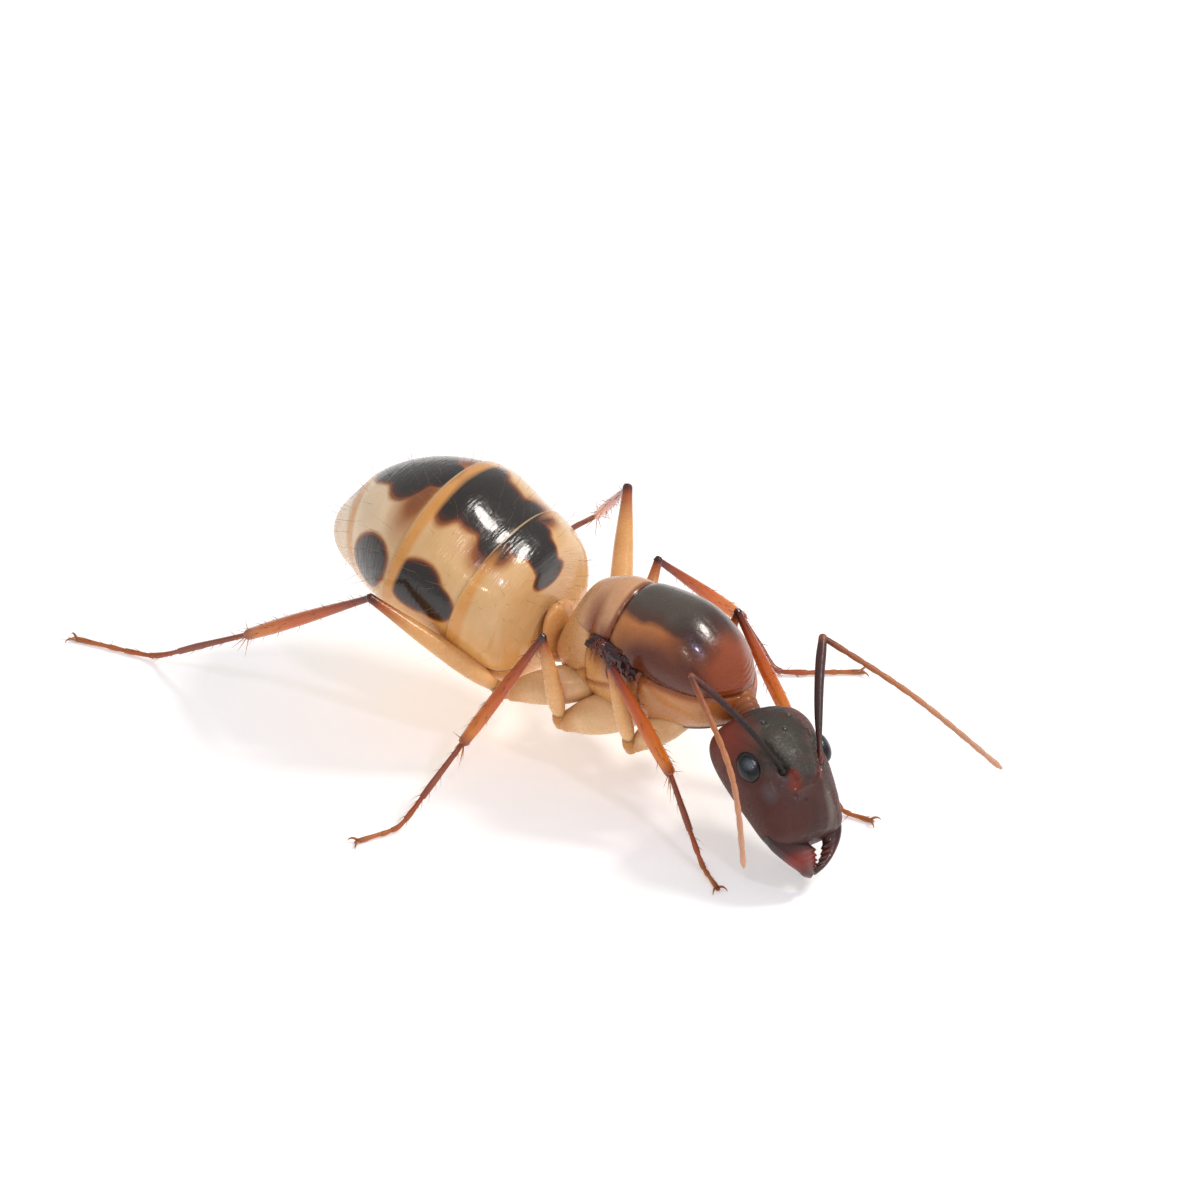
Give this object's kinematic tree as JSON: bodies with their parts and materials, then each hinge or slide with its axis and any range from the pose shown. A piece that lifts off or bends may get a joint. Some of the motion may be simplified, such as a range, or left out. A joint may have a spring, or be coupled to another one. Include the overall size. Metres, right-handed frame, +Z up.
{
  "type": "carpenter ant queen display model",
  "caption": "Life-size still model of a carpenter ant queen without wings, standing on six feet with a banded gaster, drooping head and bent feelers.",
  "frame": {"origin": "middle of the ant's footprint, on the floor that it stands on", "axes": "+Z up from the floor, +Y towards the ant's tail end, +X towards its left side; the head faces -Y"},
  "size_m": [0.0128, 0.0214, 0.006],
  "materials": {
    "head_capsule": "smooth shining chitin",
    "eye": "smooth shining chitin",
    "mandible": "smooth shining chitin",
    "feeler_scape": "smooth shining chitin",
    "feeler_whip": "smooth shining chitin",
    "thorax_flank": "smooth shining chitin",
    "thorax_back": "smooth shining chitin",
    "wing_base": "smooth shining chitin",
    "petiole_scale": "smooth shining chitin",
    "gaster_plate": "smooth shining chitin",
    "coxa": "smooth shining chitin",
    "femur": "smooth shining chitin",
    "tibia": "smooth shining chitin",
    "tarsus": "smooth shining chitin"
  },
  "bodies": {
    "root": {"head": "head_capsule", "eye_left": "eye", "eye_right": "eye", "mandible_left": "mandible", "mandible_right": "mandible", "scape_left": "feeler_scape", "scape_right": "feeler_scape", "funiculus_base_left": "feeler_whip", "funiculus_base_right": "feeler_whip", "funiculus_tip_left": "feeler_whip", "funiculus_tip_right": "feeler_whip", "pronotum": "thorax_flank", "scutum": "thorax_back", "scutellum": "thorax_flank", "mesothorax": "thorax_flank", "propodeum": "thorax_flank", "wing_base_left": "wing_base", "wing_base_right": "wing_base", "petiole": "petiole_scale", "gaster_1": "gaster_plate", "gaster_2": "gaster_plate", "gaster_3": "gaster_plate", "gaster_4": "gaster_plate", "gaster_5": "gaster_plate", "coxa_fore_left": "coxa", "femur_fore_left": "femur", "tibia_fore_left": "tibia", "tarsus_fore_left": "tarsus", "coxa_fore_right": "coxa", "femur_fore_right": "femur", "tibia_fore_right": "tibia", "tarsus_fore_right": "tarsus", "coxa_mid_left": "coxa", "femur_mid_left": "femur", "tibia_mid_left": "tibia", "tarsus_mid_left": "tarsus", "coxa_mid_right": "coxa", "femur_mid_right": "femur", "tibia_mid_right": "tibia", "tarsus_mid_right": "tarsus", "coxa_hind_left": "coxa", "femur_hind_left": "femur", "tibia_hind_left": "tibia", "tarsus_hind_left": "tarsus", "coxa_hind_right": "coxa", "femur_hind_right": "femur", "tibia_hind_right": "tibia", "tarsus_hind_right": "tarsus"}
  },
  "joints": []
}
